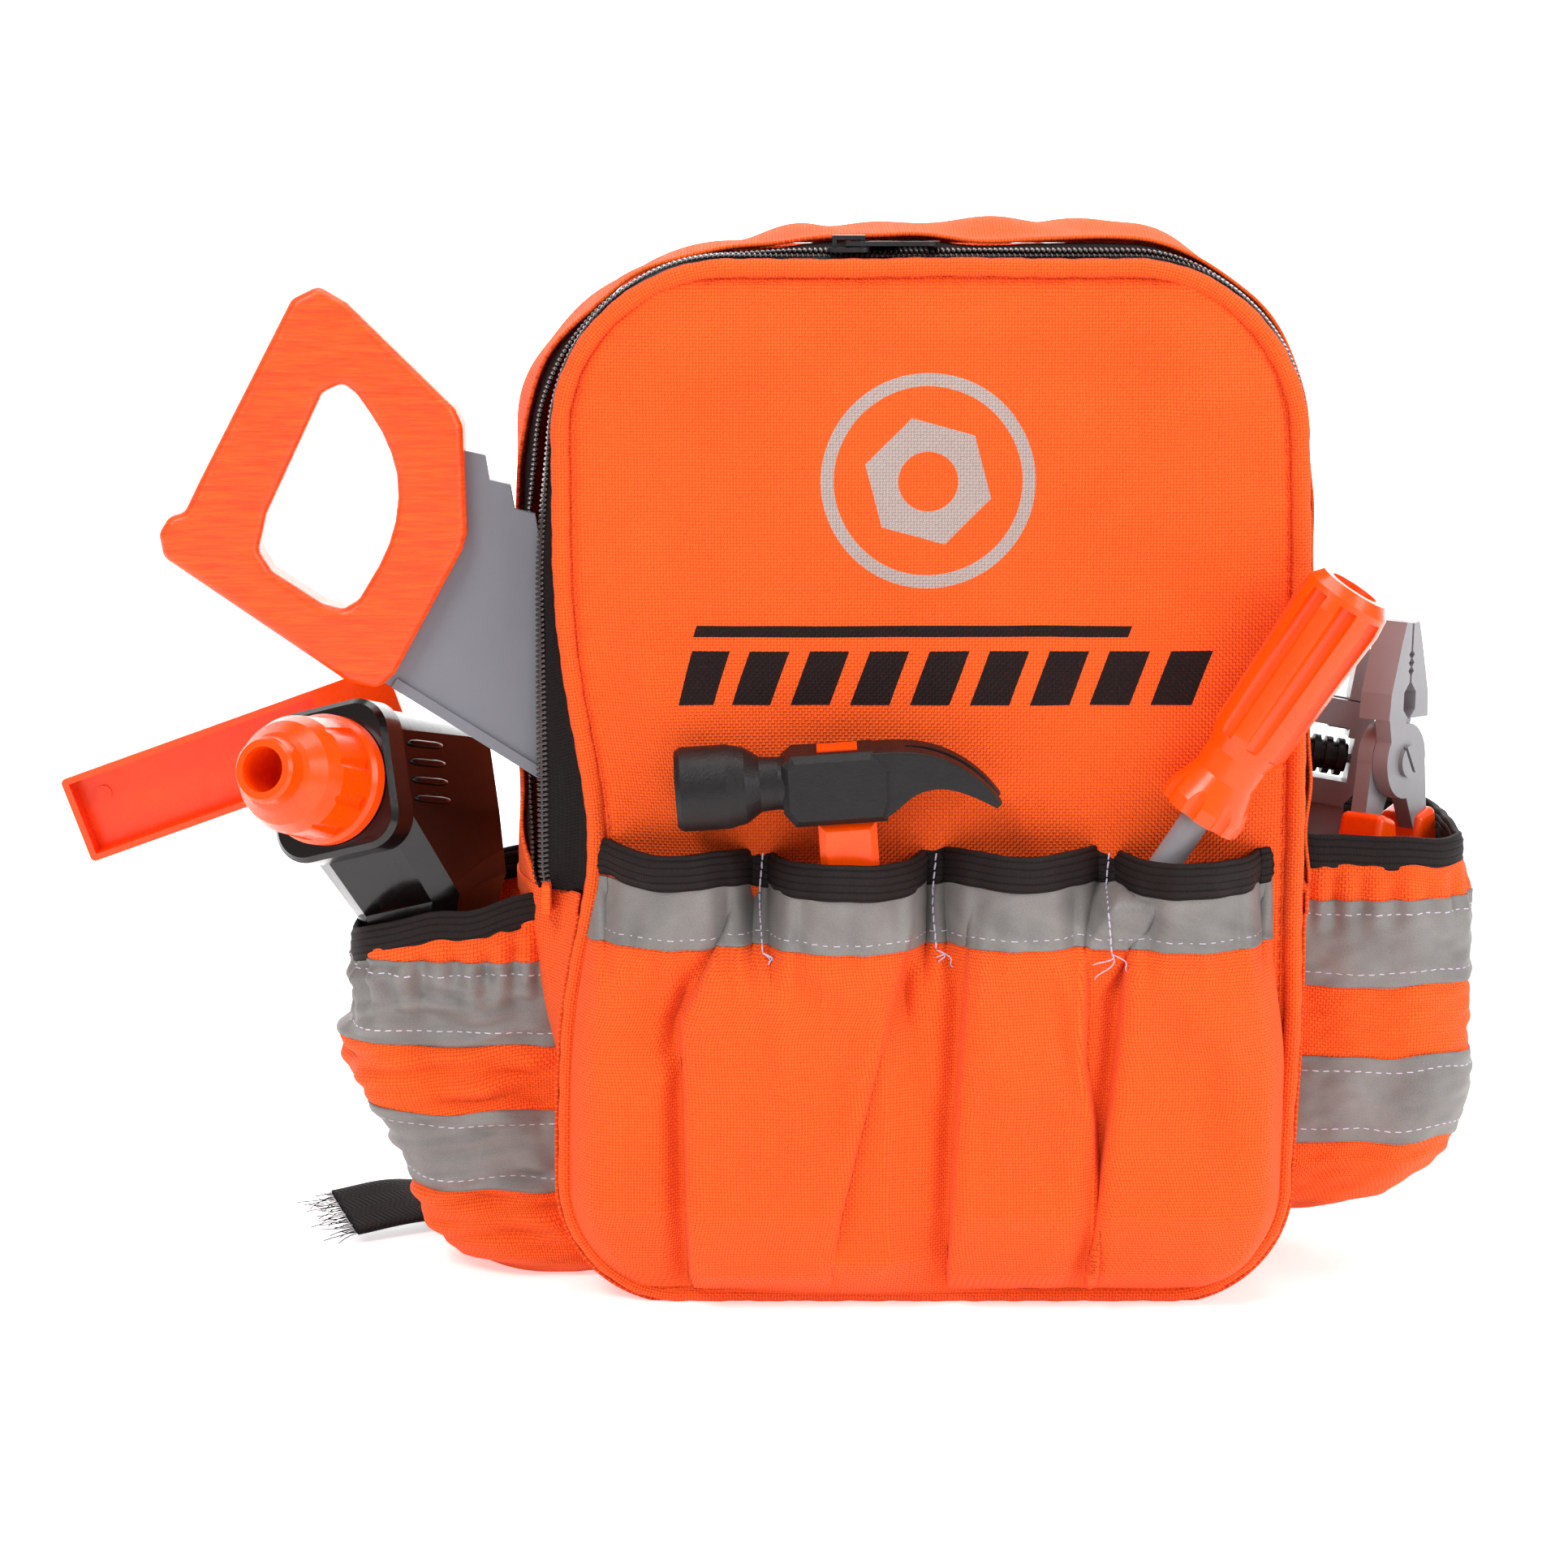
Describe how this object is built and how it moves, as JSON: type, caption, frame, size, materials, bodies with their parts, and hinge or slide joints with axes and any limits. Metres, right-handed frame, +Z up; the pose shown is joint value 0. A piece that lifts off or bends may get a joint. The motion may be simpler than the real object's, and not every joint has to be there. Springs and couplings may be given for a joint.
{
  "type": "toy tool backpack",
  "caption": "Child's zipped backpack standing upright, with pleated front and side pockets that hold toy hand tools and a toy drill.",
  "frame": {"origin": "centre of the bag's base, on the floor", "axes": "+Z up, the bag's front faces -Y, +X to the right as seen from the front, along the part's longest extent"},
  "size_m": [0.4123, 0.1627, 0.3],
  "materials": {
    "front_panel": "woven",
    "back_panel": "woven",
    "front_piping": "woven",
    "back_piping": "woven",
    "lower_gusset": "woven",
    "upper_gusset": "woven",
    "zip_tape_front": "woven webbing",
    "zip_tape_back": "woven webbing",
    "zip_coil_front": "satin",
    "zip_coil_back": "satin",
    "zip_end_tabs": "woven",
    "front_pocket": "woven",
    "front_pocket_binding": "woven webbing",
    "front_pocket_tape": "grey reflective",
    "left_pocket": "woven",
    "left_pocket_binding": "woven webbing",
    "left_pocket_tapes": "grey reflective",
    "right_pocket": "woven",
    "right_pocket_binding": "woven webbing",
    "right_pocket_tapes": "grey reflective",
    "grab_handle": "woven webbing",
    "left_shoulder_strap": "woven webbing",
    "right_shoulder_strap": "woven webbing",
    "left_lower_webbing": "woven webbing",
    "right_lower_webbing": "woven webbing",
    "strap_adjusters": "satin",
    "left_webbing_tail": "woven webbing",
    "right_webbing_tail": "woven webbing",
    "zip_slider": "black enamel",
    "zip_pull": "black enamel",
    "saw_handle": "glossy",
    "saw_blade": "satin",
    "square_stock": "glossy",
    "square_blade": "satin",
    "screwdriver_handle": "glossy",
    "screwdriver_shaft": "satin",
    "hammer_head": "satin",
    "hammer_handle": "glossy",
    "pliers_front_half": "satin",
    "pliers_front_grip": "glossy",
    "pliers_pivot_screw": "satin",
    "pliers_back_half": "satin",
    "pliers_back_grip": "glossy",
    "wrench_body": "satin",
    "wrench_worm_pin": "plated",
    "wrench_jaw": "satin",
    "wrench_worm": "satin",
    "drill_left_shell": "glossy",
    "drill_right_shell": "glossy",
    "drill_motor": "plated",
    "drill_switch": "glossy",
    "drill_batteries": "sleeved",
    "drill_screws": "plated",
    "drill_chuck": "glossy",
    "drill_spindle": "plated",
    "drill_trigger": "glossy",
    "drill_battery_cover": "glossy"
  },
  "bodies": {
    "bag": {"front_panel": "front_panel", "back_panel": "back_panel", "front_piping": "front_piping", "back_piping": "back_piping", "lower_gusset": "lower_gusset", "upper_gusset": "upper_gusset", "zip_tape_front": "zip_tape_front", "zip_tape_back": "zip_tape_back", "zip_coil_front": "zip_coil_front", "zip_coil_back": "zip_coil_back", "zip_end_tabs": "zip_end_tabs", "front_pocket": "front_pocket", "front_pocket_binding": "front_pocket_binding", "front_pocket_tape": "front_pocket_tape", "left_pocket": "left_pocket", "left_pocket_binding": "left_pocket_binding", "left_pocket_tapes": "left_pocket_tapes", "right_pocket": "right_pocket", "right_pocket_binding": "right_pocket_binding", "right_pocket_tapes": "right_pocket_tapes", "grab_handle": "grab_handle", "left_shoulder_strap": "left_shoulder_strap", "right_shoulder_strap": "right_shoulder_strap", "left_lower_webbing": "left_lower_webbing", "right_lower_webbing": "right_lower_webbing", "strap_adjusters": "strap_adjusters", "left_webbing_tail": "left_webbing_tail", "right_webbing_tail": "right_webbing_tail"},
    "zip_slider": {"zip_slider": "zip_slider"},
    "zip_pull": {"zip_pull": "zip_pull"},
    "saw": {"saw_handle": "saw_handle", "saw_blade": "saw_blade"},
    "square": {"square_stock": "square_stock", "square_blade": "square_blade"},
    "screwdriver": {"screwdriver_handle": "screwdriver_handle", "screwdriver_shaft": "screwdriver_shaft"},
    "hammer": {"hammer_head": "hammer_head", "hammer_handle": "hammer_handle"},
    "pliers": {"pliers_front_half": "pliers_front_half", "pliers_front_grip": "pliers_front_grip", "pliers_pivot_screw": "pliers_pivot_screw"},
    "pliers_back": {"pliers_back_half": "pliers_back_half", "pliers_back_grip": "pliers_back_grip"},
    "wrench": {"wrench_body": "wrench_body", "wrench_worm_pin": "wrench_worm_pin"},
    "wrench_jaw": {"wrench_jaw": "wrench_jaw"},
    "wrench_worm": {"wrench_worm": "wrench_worm"},
    "drill": {"drill_left_shell": "drill_left_shell", "drill_right_shell": "drill_right_shell", "drill_motor": "drill_motor", "drill_switch": "drill_switch", "drill_batteries": "drill_batteries", "drill_screws": "drill_screws"},
    "drill_chuck": {"drill_chuck": "drill_chuck", "drill_spindle": "drill_spindle"},
    "drill_trigger": {"drill_trigger": "drill_trigger"},
    "drill_battery_cover": {"drill_battery_cover": "drill_battery_cover"}
  },
  "joints": [
    {"name": "zip_slider_travel", "type": "slide", "parent": "bag", "child": "zip_slider", "axis": [1, 0, 0], "range_m": [-0.026, 0.07]},
    {"name": "zip_pull_hinge", "type": "hinge", "parent": "zip_slider", "child": "zip_pull", "pos_m": [-0.022, -0.038, 0.2978], "axis": [0, -1, 0], "range_deg": [0, 150]},
    {"name": "saw_draw", "type": "slide", "parent": "bag", "child": "saw", "axis": [-0.8453, 0, 0.5344], "range_m": [0, 0.17]},
    {"name": "square_lift", "type": "slide", "parent": "bag", "child": "square", "axis": [-0.3387, 0, 0.9409], "range_m": [0, 0.12]},
    {"name": "screwdriver_lift", "type": "slide", "parent": "bag", "child": "screwdriver", "axis": [0.5339, -0.09, 0.8408], "range_m": [0, 0.09]},
    {"name": "hammer_lift", "type": "slide", "parent": "bag", "child": "hammer", "axis": [-0.0695, -0.0783, 0.9945], "range_m": [0, 0.125]},
    {"name": "pliers_lift", "type": "slide", "parent": "bag", "child": "pliers", "axis": [0, 0, 1], "range_m": [0, 0.1]},
    {"name": "pliers_pivot", "type": "hinge", "parent": "pliers", "child": "pliers_back", "pos_m": [0.1368, 0.006, 0.147], "axis": [-0.788, 0.6157, 0], "range_deg": [0, 6]},
    {"name": "wrench_lift", "type": "slide", "parent": "bag", "child": "wrench", "axis": [0, 0, 1], "range_m": [0, 0.1]},
    {"name": "wrench_worm_turn", "type": "hinge", "parent": "wrench", "child": "wrench_worm", "pos_m": [0.119, 0.028, 0.145], "axis": [0.9848, 0, -0.1736], "range_deg": [-505, 425]},
    {"name": "wrench_jaw_slide", "type": "slide", "parent": "wrench", "child": "wrench_jaw", "axis": [0.9848, 0, -0.1736], "range_m": [-0.005, 0.0042]},
    {"name": "drill_lift", "type": "slide", "parent": "bag", "child": "drill", "axis": [-0.2525, 0.0885, 0.9635], "range_m": [0, 0.012]},
    {"name": "drill_chuck_spin", "type": "hinge", "parent": "drill", "child": "drill_chuck", "pos_m": [-0.169, -0.022, 0.1456], "axis": [-0.4101, -0.8794, 0.2419], "continuous": true},
    {"name": "drill_trigger_press", "type": "slide", "parent": "drill", "child": "drill_trigger", "axis": [0.3569, 0.9341, 0.0077], "range_m": [0, 0.004], "stiffness_N_per_m": 300, "springref_m": -0.002},
    {"name": "drill_battery_cover_slide", "type": "slide", "parent": "drill", "child": "drill_battery_cover", "axis": [0.3569, 0.9341, 0.0077], "range_m": [0, 0.012]}
  ],
  "couplings": [
    {"joint": "wrench_worm_turn", "follows": "wrench_jaw_slide", "rad_per_m": 1745.3}
  ]
}
